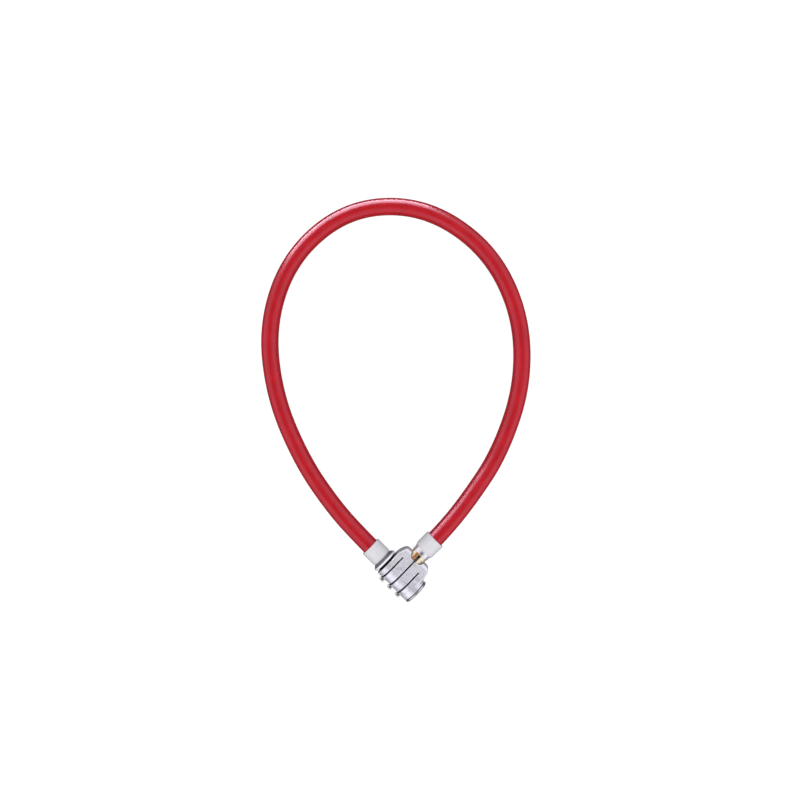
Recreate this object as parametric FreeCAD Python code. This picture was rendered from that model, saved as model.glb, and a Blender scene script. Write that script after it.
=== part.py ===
import FreeCAD, Part
import math, os
from FreeCAD import Vector as V

os.makedirs("parts", exist_ok=True)

# Wire-cable luggage lock, millimetres.
# The lock body is drawn in its own frame: x along the barrel (cable anchor at -x, outer cap at +x),
# y along the plug's socket (the plug leaves towards +y), z up through the front face, with the
# barrel's axis at y = z = 0. Every solid is then placed in the row frame: the lock lies on its flat
# back, the origin is on that face below the socket's axis, and both cable ends point up the page.

# ---------------------------------------------------------------- driving dimensions
BARREL_R = 9.2            # outside radius of the barrel, and height of its axis over the back face
BODY_X0 = -12.0           # left end of the housing
BODY_X1 = 15.0            # right end of the housing
CHAMBER_R = 7.4           # tumbler chamber
CHAMBER_X0 = -8.9
BOSS_TOP = 18.2           # top of the socket boss
FRONT_TILT = 10.0         # degrees that the boss's flat front falls away from the barrel
NOSE_R = 3.0              # rounding of the front at the boss's top
NOTCH_W = 5.5             # half width of the notch in the front of the socket's mouth
NOTCH_Y0 = 14.6           # its lower edge
NOTCH_R = 3.6             # its lower corners
BACK_CORNER_R = 6.0       # rounding of the back at the boss's top
BOSS_X1 = 13.2            # right side of the boss, over the barrel
SOCKET_R = 6.3            # bore that takes the plug
SOCKET_FLOOR_Y = 2.2
DIAL_X = (-7.5, 0.0, 7.5) # planes of the three tumbler discs
SLOT_W = 1.1              # slot in the housing over each disc
SLOT_CUT_R = 13.4         # radius of the saw that cuts the outer slots
SLOT_CUT_R_MID = 16.2     # the middle one runs out into the notch
DISC_R = 7.0
DISC_T = 1.2
STEM_T = 0.9
TAB_R0, TAB_R1 = 9.5, 11.6
TAB_X0, TAB_X1 = -0.75, 2.95   # the finger pad is folded over to the cap side of its disc
TAB_W = 3.0               # pad width round the barrel
SPINDLE_R = 2.0
SLEEVE_R = 2.9
CABLE_R = 6.0             # plastic sheath
CORE_R = 2.85             # steel wire strand
SHEATH_BORE_R = 3.0
FERRULE_R = 7.5
FERRULE_TIP_R = 7.2
PLUG_R = 5.95
PLUG_TIP_R = 5.2
PLUG_Y0 = 3.6             # inner end of the plug when it is home
COLLAR_Y0, COLLAR_Y1 = 20.4, 23.9
PFERRULE_Y0, PFERRULE_Y1 = 23.9, 35.0
SLIT_W = 2.0
CAP_X1 = 17.2
ANCHOR_X0, ANCHOR_X1 = -16.4, -13.3
NECK_R = 5.3              # neck in the gap between the anchor and the housing
FFERRULE_X0, FFERRULE_X1 = -28.0, -16.6
ORIGIN_Y = 7.0            # the row origin lies under this point of the socket's axis

# Cable route, row frame, millimetres: points that the smooth line is drawn to.
# The cable leaves both ferrules level, sinks to the floor and closes one loop.
ROUTE = [
    (-20.3, 10.4, 9.2),
    (-30.4, 20.5, 9.2),
    (-48.7, 39.9, 7.9),
    (-71.8, 72.6, 6.1),
    (-91.2, 118.0, 6.1),
    (-96.3, 168.6, 6.1),
    (-79.1, 215.9, 6.1),
    (-39.3, 247.9, 6.1),
    (11.3, 249.5, 6.1),
    (54.9, 221.3, 6.1),
    (78.1, 177.2, 6.1),
    (80.4, 127.0, 6.1),
    (64.1, 79.0, 6.1),
    (42.0, 46.4, 7.9),
    (25.5, 25.5, 9.2),
    (15.3, 15.3, 9.2),
]
SPLIT_RUN = 3             # the cable flexes about the middle of the run that starts at this point

X, Y, Z = V(1, 0, 0), V(0, 1, 0), V(0, 0, 1)


# ---------------------------------------------------------------- helpers
def cyl(r, a, b, axis="x", c=(0.0, 0.0)):
    """Cylinder from a to b along an axis of the lock frame, through c in the other two."""
    if axis == "x":
        return Part.makeCylinder(r, b - a, V(a, c[0], c[1]), X)
    if axis == "y":
        return Part.makeCylinder(r, b - a, V(c[0], a, c[1]), Y)
    return Part.makeCylinder(r, b - a, V(c[0], c[1], a), Z)


def cone(r0, r1, a, b, axis="x", c=(0.0, 0.0)):
    if axis == "x":
        return Part.makeCone(r0, r1, b - a, V(a, c[0], c[1]), X)
    if axis == "y":
        return Part.makeCone(r0, r1, b - a, V(c[0], a, c[1]), Y)
    return Part.makeCone(r0, r1, b - a, V(c[0], c[1], a), Z)


def box(x0, x1, y0, y1, z0, z1):
    return Part.makeBox(x1 - x0, y1 - y0, z1 - z0, V(x0, y0, z0))


def turned(points, axis="x"):
    """Solid of revolution about the x or y axis; points are (position, radius)."""
    if axis == "x":
        p = [V(a, r, 0) for a, r in points]
        ax = X
    else:
        p = [V(r, a, 0) for a, r in points]
        ax = Y
    face = Part.Face(Part.makePolygon(p + [p[0]]))
    return face.revolve(V(0, 0, 0), ax, 360)


def place(shape):
    """Lock frame to row frame."""
    m = FreeCAD.Placement(V(0, -ORIGIN_Y, 0), FreeCAD.Rotation())
    r = FreeCAD.Placement(V(0, 0, BARREL_R), FreeCAD.Rotation(Z, -45))
    s = shape.copy()
    s.Placement = r.multiply(m).multiply(s.Placement)
    return s


def write(name, shape, placed=True):
    s = place(shape) if placed else shape
    solids = s.Solids
    assert solids and all(q.isValid() for q in solids), name
    out = solids[0] if len(solids) == 1 else Part.makeCompound(solids)
    out.exportStep("parts/%s.step" % name)
    print("%-22s solids %2d  volume %10.1f mm3" % (name, len(solids), sum(q.Volume for q in solids)))


def union(items):
    out = items[0]
    for s in items[1:]:
        out = out.fuse(s)
    return out.removeSplitter()


# ---------------------------------------------------------------- housing
def boss():
    """Egg-shaped section along the barrel, cut to the boss's outline."""
    def arc(c, r, a0, a1):
        """Arc in the plane x = 0 about (y, z) = c, angles in degrees from +y towards +z."""
        pt = [V(0, c[0] + r * math.cos(math.radians(a)), c[1] + r * math.sin(math.radians(a)))
              for a in (a0, (a0 + a1) / 2, a1)]
        return Part.Arc(*pt).toShape()
    # front: over the barrel on its own radius, a flat face that falls away, then the nose's arc
    f = math.radians(FRONT_TILT)
    y0, z0 = BARREL_R * math.sin(f), BARREL_R * math.cos(f)
    nose_y = BOSS_TOP - NOSE_R
    y1 = nose_y + NOSE_R * math.sin(f)
    z1 = z0 - (y1 - y0) * math.tan(f)
    nose = (nose_y, z1 - NOSE_R * math.cos(f))
    # back: flat, then one corner arc, then a short land
    back_c = (BOSS_TOP - BACK_CORNER_R, -BARREL_R + BACK_CORNER_R)
    e = [arc((0.0, 0.0), BARREL_R, 90, 90 - FRONT_TILT), Part.makeLine(V(0, y0, z0), V(0, y1, z1)),
         arc(nose, NOSE_R, 90 - FRONT_TILT, 0),
         Part.makeLine(V(0, BOSS_TOP, nose[1]), V(0, BOSS_TOP, back_c[1])), arc(back_c, BACK_CORNER_R, 0, -90),
         Part.makeLine(V(0, back_c[0], -BARREL_R), V(0, 0, -BARREL_R)),
         Part.makeLine(V(0, 0, -BARREL_R), V(0, 0, BARREL_R))]
    prism = Part.Face(Part.Wire(e)).extrude(V(40, 0, 0))
    prism.translate(V(-20, 0, 0))

    def side(x, y, top_x, sign):
        """Line up to (x, y), then an arc tangent to it through (top_x, BOSS_TOP) and a little on."""
        d, hgt = abs(x - top_x), BOSS_TOP - y
        r = (d * d + hgt * hgt) / (2 * d)
        cx = x - sign * r
        top = BOSS_TOP + 0.6
        at = lambda yy: V(cx + sign * math.sqrt(r * r - (yy - y) ** 2), yy, -12)
        return at(y), at((y + top) / 2), at(top)
    l0, l1, l2 = side(BODY_X0, 9.0, -9.3, -1)
    r0, r1, r2 = side(BOSS_X1, 9.6, 9.9, 1)
    w = Part.Wire([Part.makeLine(V(BODY_X0, 0, -12), l0), Part.Arc(l0, l1, l2).toShape(), Part.makeLine(l2, r2),
                   Part.Arc(r2, r1, r0).toShape(), Part.makeLine(r0, V(BOSS_X1, 0, -12)),
                   Part.makeLine(V(BOSS_X1, 0, -12), V(BODY_X0, 0, -12))])
    plan = Part.Face(w).extrude(V(0, 0, 24))
    return prism.common(plan)


def housing():
    b = boss()
    right = [ed for ed in b.Edges if ed.CenterOfMass.x > BOSS_X1 - 0.05 and ed.CenterOfMass.z > 7]
    b = b.makeFillet(1.4, right)
    body = b.fuse(cyl(BARREL_R, BODY_X0, BODY_X1)).removeSplitter()
    left = [ed for ed in body.Edges if abs(ed.CenterOfMass.x - BODY_X0) < 1e-6 and ed.CenterOfMass.z > 8]
    body = body.makeFillet(1.1, left)
    # chamber, plug socket with its countersunk mouth, anchor bore, spindle hole
    cuts = [
        cyl(CHAMBER_R, CHAMBER_X0, BODY_X1 + 1),
        cyl(SOCKET_R, SOCKET_FLOOR_Y, BOSS_TOP + 2, "y"),
        cone(SOCKET_R, SOCKET_R + 0.8, BOSS_TOP - 0.7, BOSS_TOP + 0.1, "y"),
        cyl(6.5, BODY_X0 - 1, -9.7),
        cyl(SPINDLE_R + 0.05, -10.0, CHAMBER_X0 + 1),
    ]
    # notch in the front of the socket's mouth
    n0, n1, n2 = NOTCH_W - NOTCH_R, NOTCH_Y0 + NOTCH_R, BOSS_TOP + 3
    h = NOTCH_R * math.sqrt(0.5)
    notch = Part.Wire([
        Part.makeLine(V(-n0, NOTCH_Y0, 0), V(n0, NOTCH_Y0, 0)),
        Part.Arc(V(n0, NOTCH_Y0, 0), V(n0 + h, n1 - h, 0), V(NOTCH_W, n1, 0)).toShape(),
        Part.makeLine(V(NOTCH_W, n1, 0), V(NOTCH_W, n2, 0)), Part.makeLine(V(NOTCH_W, n2, 0), V(-NOTCH_W, n2, 0)),
        Part.makeLine(V(-NOTCH_W, n2, 0), V(-NOTCH_W, n1, 0)),
        Part.Arc(V(-NOTCH_W, n1, 0), V(-n0 - h, n1 - h, 0), V(-n0, NOTCH_Y0, 0)).toShape()])
    cuts.append(Part.Face(notch).extrude(V(0, 0, 14)))
    # slots for the discs' stems: open over the front and under the barrel
    for x, r in zip(DIAL_X, (SLOT_CUT_R, SLOT_CUT_R_MID, SLOT_CUT_R)):
        saw = cyl(r, x - SLOT_W / 2, x + SLOT_W / 2)
        zone = box(x - 2, x + 2, -20, 20, 3.0, 20).fuse(box(x - 2, x + 2, -20, 0, -2.0, 20))
        cuts.append(saw.common(zone))
    # pocket for the springs behind the chamber, closed by the back cover
    cuts.append(box(-8.8, 9.1, -2.4, 9.4, -8.2, -5.6))
    cuts.append(box(-8.8, 9.1, 9.3, 11.6, -8.2, -7.4))
    cuts.append(box(-11.0, 11.4, 0.6, 12.1, -9.3, -8.2))
    # holes for the leaf's screws, the cover's screws and the anchor pin
    for x in (-7.6, 7.9):
        cuts.append(cyl(0.6, -8.0, -4.6, "z", (x, 10.4)))
    for x, y, z in COVER_SCREWS:
        cuts.append(cyl(0.65, -9.0, z + 0.05, "z", (x, y)))
    cuts.append(cyl(0.9, -9.3, -2.0, "z", (-11.0, -4.2)))
    for c in cuts:
        body = body.cut(c)
    return body


# x, y and inner end of each cover screw: the lower two stop short of the chamber
COVER_SCREWS = ((-9.8, 2.6, -7.4), (-9.8, 11.0, -5.6), (10.2, 2.6, -7.6), (10.2, 11.0, -5.6))

write("lock_housing", housing())

# back cover: plate flush with the back face, its four screws countersunk
cover = box(-10.95, 11.35, 0.65, 12.05, -BARREL_R, -8.2)
for x, y, z in COVER_SCREWS:
    cover = cover.cut(cone(1.24, 0.72, -9.25, -8.6, "z", (x, y))).cut(cyl(0.72, -9.3, -8.1, "z", (x, y)))
write("back_cover", cover)
screws = []
for x, y, z in COVER_SCREWS:
    s = cyl(0.62, -8.7, z, "z", (x, y)).fuse(cone(1.12, 0.62, -9.15, -8.6, "z", (x, y))).removeSplitter()
    screws.append(s.cut(box(x - 1.4, x + 1.4, y - 0.17, y + 0.17, -9.3, -8.85)).cut(
        box(x - 0.17, x + 0.17, y - 1.4, y + 1.4, -9.3, -8.85)))
write("cover_screws", Part.makeCompound(screws))

# outer end cap: spigot in the chamber, rounded rim, shallow dome
cap = turned([(13.2, 0), (13.2, 7.35), (BODY_X1, 7.35), (BODY_X1, 8.3), (BODY_X1 + 0.4, 8.3),
              (BODY_X1 + 0.5, BARREL_R - 0.15), (BODY_X1 + 0.65, BARREL_R),
              (CAP_X1 - 0.95, BARREL_R), (CAP_X1 - 0.55, BARREL_R - 0.12), (CAP_X1 - 0.22, BARREL_R - 0.42),
              (CAP_X1 - 0.04, BARREL_R - 0.85), (CAP_X1, 8.0), (CAP_X1 + 0.2, 6.0), (CAP_X1 + 0.33, 4.0),
              (CAP_X1 + 0.42, 2.0), (CAP_X1 + 0.45, 0)])
cap = cap.cut(cyl(SPINDLE_R + 0.05, 13.0, 15.6))
write("outer_end_cap", cap)

# cable anchor: dark cone, bright rim, neck in the gap, spigot pressed in the housing
anchor = turned([(ANCHOR_X0, 0), (ANCHOR_X0, 7.25), (ANCHOR_X0 + 0.2, 7.4), (-14.75, BARREL_R - 0.15),
                 (-14.6, BARREL_R), (ANCHOR_X1 - 0.15, BARREL_R), (ANCHOR_X1, BARREL_R - 0.15),
                 (ANCHOR_X1, NECK_R), (BODY_X0, NECK_R), (BODY_X0, 6.45), (-9.75, 6.45), (-9.75, 0)])
anchor = anchor.cut(cyl(5.0, ANCHOR_X0 - 1, -14.4)).cut(cyl(2.05, -11.8, -9))
anchor = anchor.cut(cyl(0.85, -9.3, -2.0, "z", (-11.0, -4.2)))
write("cable_anchor", anchor)
write("anchor_pin", cyl(0.8, -8.0, -2.2, "z", (-11.0, -4.2)))

# spindle with a groove for its retaining ring, spacer sleeves between the discs
spindle = cyl(SPINDLE_R, -11.6, 15.4).cut(cyl(3, 12.75, 13.1).cut(cyl(1.6, 12.7, 13.2)))
write("dial_spindle", spindle)
ring = cyl(3.1, 12.8, 13.05).cut(cyl(1.65, 12.7, 13.2)).cut(box(12, 14, 0.0, 4, -1.1, 1.1))
write("spindle_ring", ring)
sleeves = []
h = DISC_T / 2 + 0.12
for a, b in ((CHAMBER_X0, DIAL_X[0] - h), (DIAL_X[0] + h, DIAL_X[1] - h),
             (DIAL_X[1] + h, DIAL_X[2] - h), (DIAL_X[2] + h, 12.7)):
    sleeves.append(cyl(SLEEVE_R, a, b).cut(cyl(SPINDLE_R + 0.03, a - 1, b + 1)))
write("spacer_sleeves", Part.makeCompound(sleeves))

# tumbler discs: rim dimples every 10 degrees, one gate, a stem through the slot; folded finger pads
for tag, x in zip("abc", DIAL_X):
    disc = cyl(DISC_R, x - DISC_T / 2, x + DISC_T / 2)
    stem = box(x - STEM_T / 2, x + STEM_T / 2, -10.6, -6.0, -1.15, 1.15)
    disc = disc.fuse(stem)
    disc = disc.cut(cyl(SPINDLE_R + 0.06, x - 2, x + 2))
    for i in range(10):
        a = math.radians(-90 + 10 * i)
        disc = disc.cut(cyl(0.42, x - 1, x + 1, "x", ((DISC_R + 0.12) * math.cos(a), (DISC_R + 0.12) * math.sin(a))))
    gate = box(x - 1, x + 1, -0.8, 0.8, -8, -5.9)
    gate.rotate(V(0, 0, 0), X, 24)
    disc = disc.cut(gate)
    write("dial_disc_" + tag, disc.removeSplitter())
    pad = box(x + TAB_X0, x + TAB_X1, -TAB_R1 - 1, -TAB_R0 + 1, -TAB_W / 2, TAB_W / 2)
    pad = pad.common(cyl(TAB_R1, x - 5, x + 5)).cut(cyl(TAB_R0, x - 5, x + 5))
    corners = [ed for ed in pad.Edges if abs(ed.CenterOfMass.y + (TAB_R0 + TAB_R1) / 2) < 0.4
               and min(abs(ed.CenterOfMass.x - x - TAB_X0), abs(ed.CenterOfMass.x - x - TAB_X1)) < 0.01]
    pad = pad.makeFillet(1.1, corners)
    rim = [ed for ed in pad.Edges if ed.CenterOfMass.y < -(TAB_R1 - 0.35)]
    pad = pad.makeFillet(0.85, rim)
    pad = pad.cut(box(x - STEM_T / 2 - 0.02, x + STEM_T / 2 + 0.02, -10.62, -6.0, -1.17, 1.17))
    write("dial_tab_" + tag, pad)

# detent leaf: plate behind the discs with one ridge under each rim
leaf = box(-8.5, 8.8, -2.2, 1.6, -8.15, -7.85)
for x in DIAL_X:
    leaf = leaf.fuse(box(x - 0.8, x + 0.8, -0.45, 0.45, -7.9, -7.45)).fuse(cyl(0.28, x - 0.8, x + 0.8, "x", (0, -7.48)))
write("detent_leaf", leaf.removeSplitter())

# locking leaf: plate behind the socket, hook in the plug's notch, one foot beside each rim
lock_leaf = box(-8.5, 8.8, 2.0, 11.4, -7.95, -7.42)
lock_leaf = lock_leaf.cut(box(-5.6, 5.6, 9.6, 10.8, -9, -7))
lock_leaf = lock_leaf.fuse(box(-2.0, 2.0, 7.7, 8.7, -7.5, -4.45))
for x in DIAL_X:
    lock_leaf = lock_leaf.fuse(box(x - 0.5, x + 0.5, 2.4, 3.2, -7.5, -6.95))
for x in (-7.6, 7.9):
    lock_leaf = lock_leaf.cut(cyl(0.62, -9, -6, "z", (x, 10.4)))
write("locking_leaf", lock_leaf.removeSplitter())
write("leaf_screws", Part.makeCompound([
    cyl(0.57, -8.1, -4.8, "z", (x, 10.4)).cut(cyl(0.3, -8.2, -7.9, "z", (x, 10.4))) for x in (-7.6, 7.9)]))

# ---------------------------------------------------------------- cable ends
fer = turned([(FFERRULE_X0, 6.05), (FFERRULE_X0, FERRULE_R - 0.35), (FFERRULE_X0 + 0.12, FERRULE_R - 0.1),
              (FFERRULE_X0 + 0.35, FERRULE_R), (FFERRULE_X1 - 1.0, FERRULE_TIP_R + 0.12),
              (FFERRULE_X1 - 0.45, FERRULE_TIP_R - 0.05), (FFERRULE_X1 - 0.12, FERRULE_TIP_R - 0.35),
              (FFERRULE_X1, FERRULE_TIP_R - 0.8), (FFERRULE_X1, 5.05), (-21.5, 5.05), (-21.5, 6.05)])
write("fixed_ferrule", fer)
write("fixed_crimp", cyl(4.95, -21.3, -14.45).cut(cyl(2.95, -22, -16.0)))
pf = turned([(PFERRULE_Y1, 6.05), (PFERRULE_Y1, FERRULE_R - 0.35), (PFERRULE_Y1 - 0.12, FERRULE_R - 0.1),
             (PFERRULE_Y1 - 0.35, FERRULE_R), (PFERRULE_Y0 + 1.0, FERRULE_TIP_R + 0.12),
             (PFERRULE_Y0 + 0.45, FERRULE_TIP_R - 0.05), (PFERRULE_Y0 + 0.12, FERRULE_TIP_R - 0.35),
             (PFERRULE_Y0, FERRULE_TIP_R - 0.8), (PFERRULE_Y0, 5.05), (28.5, 5.05), (28.5, 6.05)], "y")
write("plug_ferrule", pf)
write("plug_crimp", cyl(4.95, 21.6, 28.3, "y").cut(cyl(2.95, 23.4, 29, "y")))

# collar: bright sleeve between the ferrule and the brass, with a lip under the ferrule
collar = turned([(COLLAR_Y0, 4.9), (COLLAR_Y0, 6.05), (COLLAR_Y0 + 0.15, 6.2), (COLLAR_Y1 - 0.75, 6.2),
                 (COLLAR_Y1 - 0.6, 6.65), (COLLAR_Y1 - 0.1, 6.75), (COLLAR_Y1, 6.6), (COLLAR_Y1, 5.0),
                 (21.5, 5.0), (21.5, 4.9)], "y")
slit = box(-SLIT_W / 2, SLIT_W / 2, PLUG_Y0 - 1, 22.4, -8, 8)
collar = collar.cut(box(-SLIT_W / 2, SLIT_W / 2, COLLAR_Y0 - 1, 22.6, 0, 8))
write("plug_collar", collar)

# brass plug: full-width shank, narrower tumbler end, slit for the middle disc, notch for the hook
plug = turned([(PLUG_Y0, 0), (PLUG_Y0, PLUG_TIP_R - 0.6), (PLUG_Y0 + 0.6, PLUG_TIP_R), (11.4, PLUG_TIP_R),
               (12.2, PLUG_R), (COLLAR_Y0, PLUG_R), (COLLAR_Y0, 4.85), (21.5, 4.85), (21.5, 0)], "y")
plug = plug.cut(box(-SLIT_W / 2, SLIT_W / 2, PLUG_Y0 - 1, 20.0, -8, 8))
plug = plug.cut(box(-2.6, 2.6, 7.2, 9.4, -8, -3.9))
plug = plug.cut(box(3.05, 3.45, 15.0, 18.6, 4.2, 8))
plug = plug.cut(cyl(0.8, -8, 8, "x", (21.0 - 2.4, 0)))
write("plug_pin", plug.removeSplitter())
write("plug_cross_pin", union([cyl(0.78, -5.6, 5.6, "x", (18.6, 0))]))


# ---------------------------------------------------------------- cable
def route_edges(points):
    """Straight runs joined by tangent arcs; each arc is as large as its two runs allow."""
    p = [V(*q) for q in points]
    runs = [(p[i + 1] - p[i]) for i in range(len(p) - 1)]
    edges, radii, cuts = [], [], []
    start = p[0]
    for i in range(1, len(p) - 1):
        a, b = V(runs[i - 1]), V(runs[i])
        la, lb = a.Length, b.Length
        a.normalize()
        b.normalize()
        turn = math.acos(max(-1, min(1, a.dot(b))))
        t = 0.45 * min(la, lb)
        r = t / math.tan(turn / 2)
        radii.append(r)
        s, f = p[i] - a * t, p[i] + b * t
        bis = (b - a)
        bis.normalize()
        mid = p[i] + bis * (r / math.cos(turn / 2) - r)
        edges.append(Part.makeLine(start, s))
        cuts.append(i - 1)
        edges.append(Part.Arc(s, mid, f).toShape())
        cuts.append(-1)
        start = f
    edges.append(Part.makeLine(start, p[-1]))
    cuts.append(len(p) - 2)
    return edges, radii, cuts


edges, radii, owner = route_edges(ROUTE)
print("cable radii, mm:", [round(r) for r in radii])
pa, pb = V(*ROUTE[SPLIT_RUN]), V(*ROUTE[SPLIT_RUN + 1])
split = (pa + pb) * 0.5
heading = (pb - pa)
heading.normalize()
outer = V(-heading.y, heading.x, 0) * CABLE_R      # the loop's outside is on the left of the heading
print("cable flexes about", split + outer)
k = owner.index(SPLIT_RUN)
line = edges[k]
first = edges[:k] + [Part.makeLine(line.Vertexes[0].Point, split)]
second = [Part.makeLine(split, line.Vertexes[-1].Point)] + edges[k + 1:]


def tube(path, r):
    w = Part.Wire(path)
    e = path[0]
    t = e.tangentAt(e.FirstParameter)
    start = e.valueAt(e.FirstParameter)
    prof = Part.Wire([Part.makeCircle(r, start, t)])
    s = w.makePipeShell([prof], True, True)
    want = math.pi * r * r * w.Length
    print("  tube r %.2f length %.1f volume ratio %.5f solid %s" % (r, w.Length, s.Volume / want, s.ShapeType))
    return s


for name, path in (("fixed", first), ("free", second)):
    outer_tube, bore = tube(path, CABLE_R), tube(path, SHEATH_BORE_R)
    write("cable_sheath_" + name, outer_tube.cut(bore), placed=False)

# the wire core runs on past the sheath into each crimp
def world(x, y, z=0.0):
    q = FreeCAD.Rotation(Z, -45).multVec(V(x, y - ORIGIN_Y, z))
    return V(q.x, q.y, z + BARREL_R)


a, b = world(-16.2, 0), world(0, 23.6)
core_first = [Part.makeLine(a, first[0].Vertexes[-1].Point)] + first[1:]
core_second = second[:-1] + [Part.makeLine(second[-1].Vertexes[0].Point, b)]
write("cable_core_fixed", tube(core_first, CORE_R), placed=False)
write("cable_core_free", tube(core_second, CORE_R), placed=False)
total = sum(e.Length for e in edges)
print("sheath length, mm: %.1f" % total)
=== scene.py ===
import math

import bmesh
import bpy
import numpy as np
from mathutils import Matrix, Vector
from mathutils.bvhtree import BVHTree


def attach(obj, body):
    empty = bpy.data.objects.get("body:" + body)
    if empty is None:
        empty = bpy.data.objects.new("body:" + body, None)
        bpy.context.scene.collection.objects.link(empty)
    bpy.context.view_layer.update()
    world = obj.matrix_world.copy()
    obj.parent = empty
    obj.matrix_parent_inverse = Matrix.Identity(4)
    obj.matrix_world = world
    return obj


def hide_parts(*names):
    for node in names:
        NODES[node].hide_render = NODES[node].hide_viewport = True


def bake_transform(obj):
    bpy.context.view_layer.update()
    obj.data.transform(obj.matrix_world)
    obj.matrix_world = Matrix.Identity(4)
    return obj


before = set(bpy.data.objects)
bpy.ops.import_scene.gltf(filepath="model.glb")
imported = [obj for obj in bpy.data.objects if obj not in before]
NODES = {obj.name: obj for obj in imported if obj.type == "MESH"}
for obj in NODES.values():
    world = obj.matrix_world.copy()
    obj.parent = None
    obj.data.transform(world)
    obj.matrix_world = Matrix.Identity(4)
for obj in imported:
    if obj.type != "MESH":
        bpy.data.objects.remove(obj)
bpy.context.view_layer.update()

scene = bpy.context.scene
S2 = math.sqrt(0.5)
MM = 0.001
BARREL_R = 9.2


def row(x, y, z=0.0):
    """Lock frame (mm: x along the barrel, y along the plug, z up from the barrel's axis) to the row frame (m)."""
    return Vector((S2 * (x + y - 7.0), S2 * (-x + y - 7.0), z + BARREL_R)) * MM


def lock(p):
    """Row frame (m) to lock frame (mm)."""
    X, Y, Z = p[0] / MM, p[1] / MM, p[2] / MM
    return Vector((S2 * (X - Y), S2 * (X + Y) + 7.0, Z - BARREL_R))


# ------------------------------------------------------------------ camera
cam = bpy.data.objects.new("camera", bpy.data.cameras.new("camera"))
scene.collection.objects.link(cam)
cam.data.sensor_width = 36.0
cam.data.lens = 45.92
cam.data.clip_start = 0.01
cam.location = (-0.00440, 0.11517, 0.7092)
scene.camera = cam


# ------------------------------------------------------------------ mesh helpers
def new_mesh(name, verts, faces, smooth=True):
    me = bpy.data.meshes.new(name)
    me.from_pydata([tuple(v) for v in verts], [], [tuple(f) for f in faces])
    me.validate()
    if smooth:
        me.shade_smooth()
    ob = bpy.data.objects.new(name, me)
    scene.collection.objects.link(ob)
    return ob


def route_points(points, steps):
    """The smooth line that a cord follows: a NURBS spline drawn to these points."""
    cu = bpy.data.curves.new("route", "CURVE")
    cu.dimensions = "3D"
    cu.resolution_u = steps
    sp = cu.splines.new("NURBS")
    sp.points.add(len(points) - 1)
    for p, q in zip(sp.points, points):
        p.co = (q[0], q[1], q[2], 1.0)
    sp.order_u = 3
    sp.use_endpoint_u = True
    sp.resolution_u = steps
    ob = bpy.data.objects.new("route", cu)
    scene.collection.objects.link(ob)
    bpy.context.view_layer.update()
    me = bpy.data.meshes.new_from_object(ob)
    pts = np.array([v.co for v in me.vertices], float)
    bpy.data.objects.remove(ob)
    bpy.data.meshes.remove(me)
    return pts


def frames_along(pts):
    """Tangent, side and up at each point, turned as little as can be from one to the next."""
    d = np.gradient(pts, axis=0)
    d /= np.linalg.norm(d, axis=1)[:, None]
    up = np.zeros_like(pts)
    u = np.array([0.0, 0.0, 1.0])
    for i in range(len(pts)):
        u = u - d[i] * (u @ d[i])
        u /= np.linalg.norm(u)
        up[i] = u
    return d, np.cross(up, d), up


def swept_rings(pts, radius, n, phase=None, centre_r=0.0, turns=None):
    """Ring vertices round a line. radius is a number or one per point; centre_r and turns shift the ring on a helix."""
    d, side, up = frames_along(pts)
    s = np.r_[0, np.cumsum(np.linalg.norm(np.diff(pts, axis=0), axis=1))]
    r = np.full(len(pts), radius) if np.isscalar(radius) else radius
    a = np.linspace(0, 2 * math.pi, n, endpoint=False)
    ring = r[:, None, None] * (np.cos(a)[None, :, None] * side[:, None, :] + np.sin(a)[None, :, None] * up[:, None, :])
    c = pts.copy()
    if centre_r:
        ph = turns(s)
        c = c + centre_r * (np.cos(ph)[:, None] * side + np.sin(ph)[:, None] * up)
    v = c[:, None, :] + ring
    rod = np.stack([r[:, None] * np.cos(a)[None, :], r[:, None] * np.sin(a)[None, :],
                    np.repeat(s[:, None], n, 1)], axis=2)
    return v.reshape(-1, 3), rod.reshape(-1, 3), s


def ring_faces(m, n, base=0, flip=False):
    f = []
    for i in range(m - 1):
        for j in range(n):
            a, b = base + i * n + j, base + i * n + (j + 1) % n
            q = (a, b, b + n, a + n)
            f.append(q[::-1] if flip else q)
    return f


def rod_attribute(ob, rod):
    at = ob.data.attributes.new("rod", "FLOAT_VECTOR", "POINT")
    at.data.foreach_set("vector", np.asarray(rod, np.float32).ravel())


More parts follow.
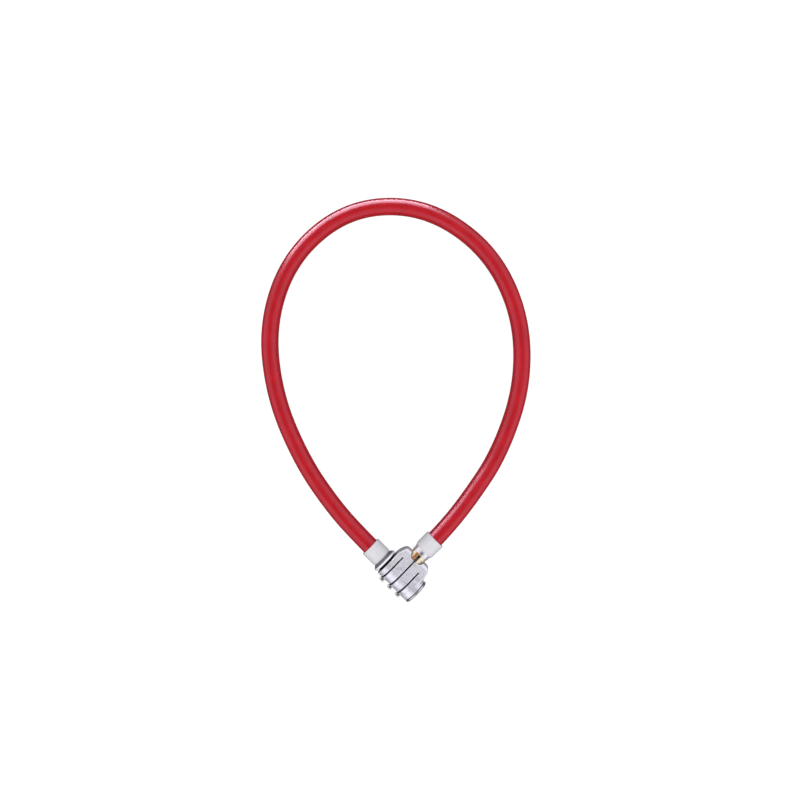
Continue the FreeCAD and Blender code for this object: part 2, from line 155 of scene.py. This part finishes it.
# ------------------------------------------------------------------ material helpers
class Mat:
    """A node-based material written in a few lines."""

    def __init__(self, name):
        self.m = bpy.data.materials.new(name)
        self.m.use_nodes = True
        self.t = self.m.node_tree
        self.n, self.l = self.t.nodes, self.t.links
        self.bsdf = self.n["Principled BSDF"]
        self.out = self.n["Material Output"]
        self._coord = None

    def add(self, kind, **props):
        node = self.n.new(kind)
        for k, v in props.items():
            setattr(node, k, v)
        return node

    def link(self, a, b):
        self.l.new(a, b)

    def put(self, name, value):
        self.bsdf.inputs[name].default_value = value

    def object_coord(self, scale=(1, 1, 1), rot_z=0.0):
        """Object coordinates in millimetres times scale; on a CAD node that is the row frame."""
        tc = self.add("ShaderNodeTexCoord")
        mp = self.add("ShaderNodeMapping", vector_type="POINT")
        mp.inputs["Rotation"].default_value = (0, 0, rot_z)
        mp.inputs["Scale"].default_value = (1000, 1000, 1000)
        self.link(tc.outputs["Object"], mp.inputs["Vector"])
        sc = self.add("ShaderNodeVectorMath", operation="MULTIPLY")
        sc.inputs[1].default_value = scale
        self.link(mp.outputs[0], sc.inputs[0])
        return sc.outputs[0]

    def rod_coord(self, scale=(1, 1, 1)):
        at = self.add("ShaderNodeAttribute", attribute_name="rod")
        sc = self.add("ShaderNodeVectorMath", operation="MULTIPLY")
        sc.inputs[1].default_value = tuple(1000 * s for s in scale)
        self.link(at.outputs["Vector"], sc.inputs[0])
        return sc.outputs[0]

    def noise(self, coord, scale, detail=3.0, rough=0.5, distortion=0.0):
        nd = self.add("ShaderNodeTexNoise")
        nd.inputs["Scale"].default_value = scale
        nd.inputs["Detail"].default_value = detail
        nd.inputs["Roughness"].default_value = rough
        nd.inputs["Distortion"].default_value = distortion
        self.link(coord, nd.inputs["Vector"])
        return nd.outputs["Fac"]

    def ramp(self, fac, stops):
        r = self.add("ShaderNodeValToRGB")
        e = r.color_ramp.elements
        while len(e) < len(stops):
            e.new(0.5)
        for el, (p, c) in zip(e, stops):
            el.position = p
            el.color = c if len(c) == 4 else (*c, 1.0)
        self.link(fac, r.inputs["Fac"])
        return r.outputs["Color"]

    def span(self, fac, a, b, x0=0.3, x1=0.7):
        mr = self.add("ShaderNodeMapRange")
        mr.clamp = True
        for k, v in zip(("From Min", "From Max", "To Min", "To Max"), (x0, x1, a, b)):
            mr.inputs[k].default_value = v
        self.link(fac, mr.inputs["Value"])
        return mr.outputs["Result"]

    def math(self, op, a, b=None, clamp=False):
        m = self.add("ShaderNodeMath", operation=op, use_clamp=clamp)
        for k, v in enumerate((a, b)):
            if v is None:
                continue
            if isinstance(v, (int, float)):
                m.inputs[k].default_value = v
            else:
                self.link(v, m.inputs[k])
        return m.outputs[0]

    def mix(self, fac, a, b):
        m = self.add("ShaderNodeMix", data_type="RGBA")
        for sock, v in ((m.inputs["Factor"], fac), (m.inputs[6], a), (m.inputs[7], b)):
            if isinstance(v, (int, float)):
                sock.default_value = v
            elif isinstance(v, tuple):
                sock.default_value = v if len(v) == 4 else (*v, 1.0)
            else:
                self.link(v, sock)
        return m.outputs[2]

    def bump(self, *layers):
        """layers: (height socket, distance in mm, strength); later ones lie on earlier ones."""
        last = None
        for h, dist, strength in layers:
            b = self.add("ShaderNodeBump")
            b.inputs["Distance"].default_value = dist * MM
            b.inputs["Strength"].default_value = strength
            self.link(h, b.inputs["Height"])
            if last:
                self.link(last, b.inputs["Normal"])
            last = b.outputs["Normal"]
        self.link(last, self.bsdf.inputs["Normal"])

    def edges(self, lo=0.5, hi=0.56):
        """0 on flats and in hollows, 1 on outside edges."""
        g = self.add("ShaderNodeNewGeometry")
        return self.span(g.outputs["Pointiness"], 0.0, 1.0, lo, hi)

    def lock_coord(self):
        """Millimetres along the barrel and along the plug, as two values."""
        oc = self.object_coord()
        out = []
        for d, start in (((S2, -S2, 0.0), 0.0), ((S2, S2, 0.0), 7.0)):
            dp = self.add("ShaderNodeVectorMath", operation="DOT_PRODUCT")
            dp.inputs[1].default_value = d
            self.link(oc, dp.inputs[0])
            out.append(self.math("ADD", dp.outputs["Value"], start))
        return out

    def band(self, value, a, b, soft=0.05):
        """1 between a and b, 0 outside."""
        up = self.span(value, 0.0, 1.0, a - soft, a + soft)
        down = self.span(value, 1.0, 0.0, b - soft, b + soft)
        return self.math("MULTIPLY", up, down)

    def hollows(self, distance=1.2):
        """1 where the surface is shut in, 0 where it is open."""
        ao = self.add("ShaderNodeAmbientOcclusion")
        ao.inputs["Distance"].default_value = distance * MM
        ao.samples = 4
        return self.math("SUBTRACT", 1.0, ao.outputs["AO"], clamp=True)


def give(node, material):
    ob = NODES[node] if isinstance(node, str) else node
    ob.data.materials.clear()
    ob.data.materials.append(material.m)


# ------------------------------------------------------------------ cord
ROUTE = [
    (-0.02030, 0.01040, 0.00920),
    (-0.03040, 0.02050, 0.00920),
    (-0.04866, 0.03993, 0.00790),
    (-0.07167, 0.07268, 0.00610),
    (-0.09096, 0.11806, 0.00610),
    (-0.09603, 0.16857, 0.00610),
    (-0.07884, 0.21567, 0.00610),
    (-0.03918, 0.24759, 0.00610),
    (0.01124, 0.24920, 0.00610),
    (0.05488, 0.22125, 0.00610),
    (0.07822, 0.17725, 0.00610),
    (0.08069, 0.12700, 0.00610),
    (0.06450, 0.07880, 0.00610),
    (0.04242, 0.04606, 0.00790),
    (0.02550, 0.02550, 0.00920),
    (0.01530, 0.01530, 0.00920),
]
line = route_points(ROUTE, 26)
length = float(np.linalg.norm(np.diff(line, axis=0), axis=1).sum())
print("cable line: %d points, %.1f mm" % (len(line), length / MM))

NR = 56
m = len(line)
along = np.r_[0, np.cumsum(np.linalg.norm(np.diff(line, axis=0), axis=1))]
# the extruded wall is never quite even
wall = 0.00600 - 0.00002 + 0.00002 * np.sin(along * 61.0) * np.sin(along * 23.0 + 1.3)
outer, outer_rod, _ = swept_rings(line, wall, NR)
inner, inner_rod, _ = swept_rings(line, 0.0030, 24)
faces = ring_faces(m, NR, 0, flip=False) + ring_faces(m, 24, len(outer), flip=True)
verts = np.vstack([outer, inner])
sheath = new_mesh("cable_sheath", verts, faces)
rod_attribute(sheath, np.vstack([outer_rod, inner_rod]))
bm = bmesh.new()
bm.from_mesh(sheath.data)
bm.verts.ensure_lookup_table()
for first, last in ((0, len(outer)), ((m - 1) * NR, len(outer) + (m - 1) * 24)):
    a = [bm.verts[first + j] for j in range(NR)]
    b = [bm.verts[last + j] for j in range(24)]
    bmesh.ops.bridge_loops(bm, edges=[bm.edges.get((a[j], a[(j + 1) % NR])) for j in range(NR)]
                           + [bm.edges.get((b[j], b[(j + 1) % 24])) for j in range(24)])
bmesh.ops.recalc_face_normals(bm, faces=bm.faces)
for f in bm.faces:
    f.smooth = True
bm.to_mesh(sheath.data)
bm.free()
sheath.data.update()

# the wire strand inside: one straight wire with six laid round it
wires_v, wires_f, wires_rod = [], [], []
thin = route_points(ROUTE, 16)
for k in range(7):
    v, rod, _ = swept_rings(thin, 0.00094, 8, centre_r=0.0 if k == 0 else 0.00190,
                            turns=lambda s, k=k: 2 * math.pi * (s / 0.042 + k / 6.0))
    base = sum(len(w) for w in wires_v)
    wires_v.append(v)
    wires_rod.append(rod)
    wires_f += ring_faces(len(thin), 8, base)
    wires_f.append(tuple(range(base + 7, base - 1, -1)))
    wires_f.append(tuple(range(base + (len(thin) - 1) * 8, base + len(thin) * 8)))
strand = new_mesh("cable_strand", np.vstack(wires_v), wires_f)
rod_attribute(strand, np.vstack(wires_rod))

def blend_along(ob, a, b, first, last):
    """The cable is laid straight for the call and then gets its shape back."""
    me = ob.data
    n = len(me.vertices)
    shape, rod = np.empty(3 * n, np.float32), np.empty(3 * n, np.float32)
    me.vertices.foreach_get("co", shape)
    me.attributes["rod"].data.foreach_get("vector", rod)
    me.vertices.foreach_set("co", rod)
    me.update()
    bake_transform(ob)
    me.vertices.foreach_set("co", shape)
    me.update()


# the joint's pivot is 106 mm along the cable; BEND holds the stretch on both sides of it
BEND = (0.058, 0.154)
blend_along(sheath, "lock_body", "plug_end", *BEND)
blend_along(strand, "lock_body", "plug_end", *BEND)
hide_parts("cable_sheath_fixed", "cable_sheath_free")
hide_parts("cable_core_fixed", "cable_core_free")

# ------------------------------------------------------------------ materials
# extruded soft PVC, dyed through: drawn lines along it, a faint cloudiness, a soft gloss
pvc = Mat("red_pvc")
c1 = pvc.rod_coord((1.0, 1.0, 0.05))
c2 = pvc.rod_coord((1.0, 1.0, 1.0))
streak = pvc.noise(c1, 1.4, 4, 0.6)
cloud = pvc.noise(c2, 0.12, 2, 0.5)
grain = pvc.noise(c2, 6.0, 3, 0.6)
tone = pvc.math("ADD", pvc.math("MULTIPLY", streak, 0.5), pvc.math("MULTIPLY", cloud, 0.5))
pvc.link(pvc.ramp(tone, [(0.3, (0.36, 0.0028, 0.0055)), (0.7, (0.49, 0.0052, 0.0095))]), pvc.bsdf.inputs["Base Color"])
pvc.link(pvc.span(streak, 0.17, 0.27), pvc.bsdf.inputs["Roughness"])
pvc.put("IOR", 1.57)
pvc.put("Specular Tint", (1.0, 0.76, 1.0, 1.0))
pvc.put("Subsurface Weight", 0.12)
pvc.put("Subsurface Radius", (1.0, 0.25, 0.2))
pvc.put("Subsurface Scale", 0.0012)
pvc.bump((streak, 0.02, 0.5), (grain, 0.006, 0.4))
give(sheath, pvc)

strand_m = Mat("wire_strand")
c = strand_m.rod_coord((1, 1, 0.1))
f = strand_m.noise(c, 3.0, 3)
strand_m.link(strand_m.ramp(f, [(0.3, (0.32, 0.31, 0.30)), (0.7, (0.52, 0.51, 0.50))]), strand_m.bsdf.inputs["Base Color"])
strand_m.link(strand_m.span(f, 0.25, 0.5), strand_m.bsdf.inputs["Roughness"])
strand_m.put("Metallic", 1.0)
strand_m.bump((f, 0.02, 0.5))
give(strand, strand_m)

# chrome-plated zinc die casting
chrome = Mat("cast_chrome")
oc = chrome.object_coord()
flow = chrome.noise(oc, 0.35, 3, 0.5)
peel = chrome.noise(oc, 1.6, 3, 0.55)
pit = chrome.noise(oc, 9.0, 4, 0.65)
edge = chrome.edges(0.505, 0.56)
shut = chrome.hollows(1.4)
tone = chrome.ramp(flow, [(0.25, (0.82, 0.82, 0.89)), (0.75, (0.90, 0.90, 0.97))])
haze = chrome.noise(oc, 0.17, 3, 0.6, 0.6)
tone = chrome.mix(chrome.span(haze, 0.75, 0.0, 0.36, 0.50), tone, (0.64, 0.64, 0.70))
# painted highlight: outside edges of the casting are painted lighter
tone = chrome.mix(chrome.math("MULTIPLY", edge, 0.6), tone, (0.94, 0.94, 0.98))
# painted shade: hollows and shut-in places are painted near-black
tone = chrome.mix(chrome.math("MULTIPLY", shut, 0.75), tone, (0.10, 0.10, 0.11))
lx, ly = chrome.lock_coord()
# painted shade: the end of the housing is painted near-black in the slit beside the cable anchor, where shade falls
sep = chrome.add("ShaderNodeSeparateXYZ")
chrome.link(oc, sep.inputs[0])
lz = chrome.math("SUBTRACT", sep.outputs["Z"], BARREL_R)
from_axis = chrome.math("SQRT", chrome.math("ADD", chrome.math("MULTIPLY", ly, ly), chrome.math("MULTIPLY", lz, lz)))
gap_shade = chrome.math("MULTIPLY", chrome.span(lx, 1.0, 0.0, -11.75, -11.55), chrome.span(from_axis, 1.0, 0.0, 9.25, 9.6))
tone = chrome.mix(gap_shade, tone, (0.03, 0.03, 0.033))
chrome.link(tone, chrome.bsdf.inputs["Base Color"])
chrome.put("Metallic", 0.57)      # satin plate: part mirror, part matt
r0 = chrome.span(peel, 0.22, 0.34)
r1 = chrome.math("ADD", r0, chrome.math("MULTIPLY", edge, -0.08))
chrome.link(chrome.math("ADD", r1, chrome.span(pit, -0.03, 0.06)), chrome.bsdf.inputs["Roughness"])
chrome.bump((flow, 0.35, 0.80), (peel, 0.05, 0.28), (pit, 0.006, 0.25))

# turned and plated pieces
def plated(name, lo, hi, rough=(0.14, 0.26), metallic=1.0):
    """Turned, plated metal between two tones, with outside edges painted lighter as a painted highlight; gives the
    material and its base colour socket.
    """
    mt = Mat(name)
    fine = mt.noise(mt.object_coord((0.15, 0.15, 1.0)), 6.0, 3)
    soft = mt.noise(mt.object_coord(), 0.8, 2)
    # painted highlight: outside edges are painted lighter
    base = mt.mix(mt.edges(0.505, 0.56), mt.ramp(soft, [(0.3, lo), (0.7, hi)]), tuple(min(1.0, v * 1.25) for v in hi))
    mt.link(base, mt.bsdf.inputs["Base Color"])
    mt.put("Metallic", metallic)
    mt.link(mt.span(fine, *rough), mt.bsdf.inputs["Roughness"])
    mt.bump((soft, 0.05, 0.3), (fine, 0.008, 0.4))
    return mt, base


turned = plated("turned_chrome", (0.62, 0.63, 0.67), (0.72, 0.72, 0.76))[0]
nickel = plated("tab_nickel", (0.78, 0.78, 0.82), (0.86, 0.86, 0.90))[0]
collar = plated("collar_chrome", (0.82, 0.82, 0.86), (0.90, 0.90, 0.93), (0.22, 0.34), 0.8)[0]

# painted shade: a dark line is painted in the end cap's groove, where shade falls
cap, base = plated("cap_chrome", (0.50, 0.50, 0.53), (0.58, 0.58, 0.61), (0.20, 0.32))
x, y = cap.lock_coord()
cap.link(cap.mix(cap.band(x, 14.95, 15.45), base, (0.10, 0.10, 0.11)), cap.bsdf.inputs["Base Color"])

# the cable anchor, with painted light: the cone's dark tone is a painted reflection, the rim has a painted highlight
# and the neck is painted black as painted shade
anchor, base = plated("anchor_painted_light", (0.16, 0.16, 0.17), (0.22, 0.22, 0.235), (0.45, 0.60), 0.5)
x, y = anchor.lock_coord()
# painted highlight: a bright band round the rim
tone = anchor.mix(anchor.band(x, -14.85, -13.45), base, (0.95, 0.95, 0.99))
# painted shade: the neck is painted near-black
tone = anchor.mix(anchor.span(x, 0.0, 1.0, -13.55, -13.45), tone, (0.02, 0.02, 0.022))
anchor.link(tone, anchor.bsdf.inputs["Base Color"])

# dark burnished steel of the tumblers and springs
steel = Mat("dark_steel")
oc = steel.object_coord()
f = steel.noise(oc, 3.0, 4)
steel.link(steel.ramp(f, [(0.3, (0.045, 0.045, 0.05)), (0.7, (0.11, 0.11, 0.115))]), steel.bsdf.inputs["Base Color"])
steel.link(steel.span(f, 0.35, 0.55), steel.bsdf.inputs["Roughness"])
steel.put("Metallic", 1.0)
steel.bump((f, 0.02, 0.5))

# off-white moulded ends
white = Mat("white_plastic")
oc = white.object_coord()
f = white.noise(oc, 0.25, 2)
g = white.noise(oc, 7.0, 3, 0.6)
white.link(white.ramp(f, [(0.3, (0.60, 0.60, 0.62)), (0.7, (0.64, 0.64, 0.66))]), white.bsdf.inputs["Base Color"])
white.link(white.span(g, 0.30, 0.42), white.bsdf.inputs["Roughness"])
white.put("IOR", 1.5)
white.put("Subsurface Weight", 0.15)
white.put("Subsurface Radius", (1.0, 0.9, 0.8))
white.put("Subsurface Scale", 0.0008)
white.bump((f, 0.08, 0.2), (g, 0.006, 0.4))

# turned brass, with painted light: a brown band beside the slit is painted shade, and the rest is painted paler than
# brass as a painted highlight
brass = Mat("brass")
oc = brass.object_coord()
f = brass.noise(oc, 0.9, 3)
lines = brass.noise(oc, 5.0, 3)
x, y = brass.lock_coord()
x = brass.math("ADD", x, brass.math("MULTIPLY", brass.math("SUBTRACT", f, 0.5), 1.6))
# painted shade: a brown band on one side of the slit; painted highlight: the brass tone elsewhere is made paler
shade_band = brass.band(x, -3.3, -1.3, 0.5)
brass_and_highlight = brass.ramp(f, [(0.3, (0.92, 0.80, 0.56)), (0.7, (0.97, 0.89, 0.68))])
brass.link(brass.mix(shade_band, brass_and_highlight, (0.50, 0.18, 0.05)), brass.bsdf.inputs["Base Color"])
brass.link(brass.span(lines, 0.18, 0.32), brass.bsdf.inputs["Roughness"])
brass.put("Metallic", 0.78)
brass.bump((f, 0.04, 0.3), (lines, 0.008, 0.4))

# ------------------------------------------------------------------ housing as a die casting
def casting(node, name, voxel, rounds):
    """The CAD shape with every edge and corner slightly rounded, as a plated casting has them."""
    src = NODES[node]
    me = src.data.copy()
    me.materials.clear()
    bm = bmesh.new()
    bm.from_mesh(me)
    bmesh.ops.remove_doubles(bm, verts=bm.verts, dist=1e-6)
    bm.to_mesh(me)
    bm.free()
    tmp = bpy.data.objects.new("tmp", me)
    scene.collection.objects.link(tmp)
    md = tmp.modifiers.new("remesh", "REMESH")
    md.mode = "VOXEL"
    md.voxel_size = voxel * MM
    md.adaptivity = 0.0
    sm = tmp.modifiers.new("smooth", "SMOOTH")
    sm.factor = 0.5
    sm.iterations = rounds
    bpy.context.view_layer.update()
    dg = bpy.context.evaluated_depsgraph_get()
    out = bpy.data.meshes.new_from_object(tmp.evaluated_get(dg))
    bpy.data.objects.remove(tmp)
    out.name = name
    out.shade_smooth()
    ob = bpy.data.objects.new(name, out)
    scene.collection.objects.link(ob)
    return ob


housing = casting("lock_housing", "housing_casting", 0.22, 7)
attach(housing, "lock_body")
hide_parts("lock_housing")
give(housing, chrome)

# ------------------------------------------------------------------ numerals and index marks
tree_v = [lock(v.co) for v in housing.data.vertices]
TREE = BVHTree.FromPolygons(tree_v, [tuple(p.vertices) for p in housing.data.polygons])
SLOT_X = (-7.5, 0.0, 7.5)


def on_barrel(x, a):
    """Radius of the housing at x along the barrel, a radians from -y towards +z."""
    d = Vector((0.0, -math.cos(a), math.sin(a)))
    hit = TREE.ray_cast(Vector((x, 0, 0)) + d * 16.0, -d)[0]
    return (hit - Vector((x, 0, 0))).length if hit is not None else BARREL_R


def glyph(text, height):
    """Flat outline mesh of one numeral, centred, that high: points and faces."""
    cu = bpy.data.curves.new("glyph", "FONT")
    cu.body = text
    cu.resolution_u = 3
    cu.fill_mode = "FRONT"
    ob = bpy.data.objects.new("glyph", cu)
    scene.collection.objects.link(ob)
    bpy.context.view_layer.update()
    me = bpy.data.meshes.new_from_object(ob)
    bm = bmesh.new()
    bm.from_mesh(me)
    bmesh.ops.remove_doubles(bm, verts=bm.verts, dist=1e-5)
    bm.verts.ensure_lookup_table()
    p = np.array([v.co[:2] for v in bm.verts])
    faces = [[v.index for v in f.verts] for f in bm.faces]
    rim = [(e.verts[0].index, e.verts[1].index) for e in bm.edges if len(e.link_faces) == 1]
    bm.free()
    bpy.data.objects.remove(ob)
    bpy.data.meshes.remove(me)
    p -= (p.min(0) + p.max(0)) / 2
    p *= height / (p[:, 1].max() - p[:, 1].min())
    return p, faces, rim


def inlay(parts, name, proud, deep):
    """One mesh of thin inlays. Each part is (points, faces, rim, place) where place(x, y, lift) gives a row point."""
    V, F = [], []
    for p, faces, rim, place in parts:
        b = len(V)
        n = len(p)
        V += [place(q[0], q[1], proud) for q in p] + [place(q[0], q[1], -deep) for q in p]
        F += [[b + i for i in f] for f in faces] + [[b + n + i for i in reversed(f)] for f in faces]
        F += [[b + i, b + j, b + n + j, b + n + i] for i, j in rim]
    ob = new_mesh(name, V, F, smooth=False)
    bm = bmesh.new()
    bm.from_mesh(ob.data)
    bmesh.ops.recalc_face_normals(bm, faces=bm.faces)
    bm.to_mesh(ob.data)
    bm.free()
    return ob


parts = []
for x0 in SLOT_X:
    for k in range(10):
        p, faces, rim = glyph(str(k), 1.1)
        a0 = math.radians(10 * k)
        r = on_barrel(x0 + 3.55, a0)

        def place(u, v, lift, x0=x0, a0=a0, r=r):
            a = a0 + v / r
            return row(x0 + 3.55 + u, -(r + lift) * math.cos(a), (r + lift) * math.sin(a))
        parts.append((p, faces, rim, place))
numerals = inlay(parts, "dial_numerals", 0.012, 0.10)
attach(numerals, "lock_body")

parts = []
disc = [(0.30 * math.cos(t), 0.30 * math.sin(t)) for t in np.linspace(0, 2 * math.pi, 20, endpoint=False)]
for x0 in SLOT_X:
    def place(u, v, lift, x0=x0):
        x, y = x0 + 2.9 + u, 13.2 + v
        hit = TREE.ray_cast(Vector((x, y, 20.0)), Vector((0, 0, -1)))[0]
        return row(x, y, hit.z + lift)
    parts.append((np.array(disc), [list(range(20))], [(i, (i + 1) % 20) for i in range(20)], place))
marks = inlay(parts, "index_marks", 0.012, 0.10)
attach(marks, "lock_body")

paint = Mat("numeral_enamel")
f = paint.noise(paint.object_coord(), 4.0, 3)
paint.link(paint.ramp(f, [(0.3, (0.26, 0.26, 0.29)), (0.7, (0.38, 0.38, 0.42))]), paint.bsdf.inputs["Base Color"])
paint.link(paint.span(f, 0.35, 0.55), paint.bsdf.inputs["Roughness"])
paint.bump((f, 0.02, 0.5))
give(numerals, paint)
give(marks, paint)

LOOKS = {
    "back_cover": chrome, "outer_end_cap": cap, "cable_anchor": anchor,
    "cover_screws": turned, "anchor_pin": steel, "dial_spindle": steel, "spindle_ring": steel,
    "spacer_sleeves": steel, "detent_leaf": steel, "locking_leaf": steel, "leaf_screws": steel,
    "fixed_ferrule": white, "plug_ferrule": white, "fixed_crimp": turned, "plug_crimp": turned,
    "plug_collar": collar, "plug_pin": brass, "plug_cross_pin": steel,
}
for t in "abc":
    LOOKS["dial_disc_" + t] = steel
    LOOKS["dial_tab_" + t] = nickel
for name, mat in LOOKS.items():
    give(name, mat)

# ------------------------------------------------------------------ floor and light
def ground(name, z, tone, glow):
    ob = new_mesh(name, [(-3, -3, z), (3, -3, z), (3, 3, z), (-3, 3, z)], [(0, 1, 2, 3)])
    fm = Mat(name)
    f = fm.noise(fm.object_coord(), 0.02, 3)
    fm.link(fm.ramp(f, [(0.3, (tone, tone, tone)), (0.7, (tone + 0.01, tone + 0.01, tone + 0.01))]),
            fm.bsdf.inputs["Base Color"])
    fm.put("Roughness", 0.9)
    fm.put("Specular IOR Level", 0.1)
    fm.put("Emission Color", (1.0, 1.0, 1.0, 1.0))
    fm.put("Emission Strength", glow)
    give(ob, fm)
    return ob


# a lit white table top to look at, and a dimmer one under it that the object is lit from
table_top = ground("floor", 0.0, 0.55, 0.70)
table_top.visible_glossy = False
table_top.visible_diffuse = False
table_top.visible_transmission = False
table_top.visible_shadow = False
under = ground("floor_under", -0.0003, 0.16, 0.0)
under.visible_camera = False

world = bpy.data.worlds.new("studio")
scene.world = world
world.use_nodes = True
wn, wl = world.node_tree.nodes, world.node_tree.links
bg = wn["Background"]
tc = wn.new("ShaderNodeTexCoord")
sep = wn.new("ShaderNodeSeparateXYZ")
wl.new(tc.outputs["Generated"], sep.inputs[0])
rp = wn.new("ShaderNodeValToRGB")
el = rp.color_ramp.elements
for p, c in ((0.0, 0.95), (0.66, 0.95), (0.80, 0.76), (0.90, 0.36), (0.97, 0.14), (1.0, 0.12)):
    e = el[0] if p == 0.0 else (el[-1] if p == 1.0 else el.new(p))
    e.position = p
    e.color = (c, c * 0.99, c * (1.0 + 0.09 * (1.0 - p)), 1)
wl.new(sep.outputs["Z"], rp.inputs["Fac"])
wl.new(rp.outputs["Color"], bg.inputs["Color"])
bg.inputs["Strength"].default_value = 1.0


cable_only = bpy.data.collections.new("cable_only")
cable_only.objects.link(sheath)


def softbox(name, direction, distance, size_x, size_y, power, spin=0.0, shine=True, glint=False):
    li = bpy.data.lights.new(name, "AREA")
    li.shape = "RECTANGLE"
    li.size, li.size_y = size_x, size_y
    li.energy = power
    ob = bpy.data.objects.new(name, li)
    scene.collection.objects.link(ob)
    d = Vector(direction).normalized()
    ob.location = Vector((0.0, 0.1, 0.0)) + d * distance
    ob.rotation_euler = d.to_track_quat("Z", "Y").to_euler()
    ob.rotation_euler.rotate_axis("Z", spin)
    ob.visible_glossy = shine
    ob.visible_diffuse = not glint
    if glint:
        ob.light_linking.receiver_collection = cable_only
    return ob


softbox("key_lower_left", (-0.62, -0.62, 0.75), 1.6, 1.2, 0.8, 4.5, shine=False)
softbox("fill_lower_right", (0.70, -0.60, 0.60), 1.6, 1.0, 0.8, 4.0, shine=False)
softbox("rim_low", (-0.30, 0.95, 0.10), 1.6, 2.2, 0.40, 48.0, glint=True)
softbox("rim_high", (-0.28, 0.93, 0.54), 1.6, 2.0, 0.80, 34.0, glint=True)
softbox("overhead", (0.1, 0.1, 1.0), 1.6, 1.4, 1.4, 9.0, shine=False)

scene.view_settings.view_transform = "Standard"
scene.view_settings.look = "None"
scene.view_settings.exposure = 0.0
scene.view_settings.gamma = 1.0
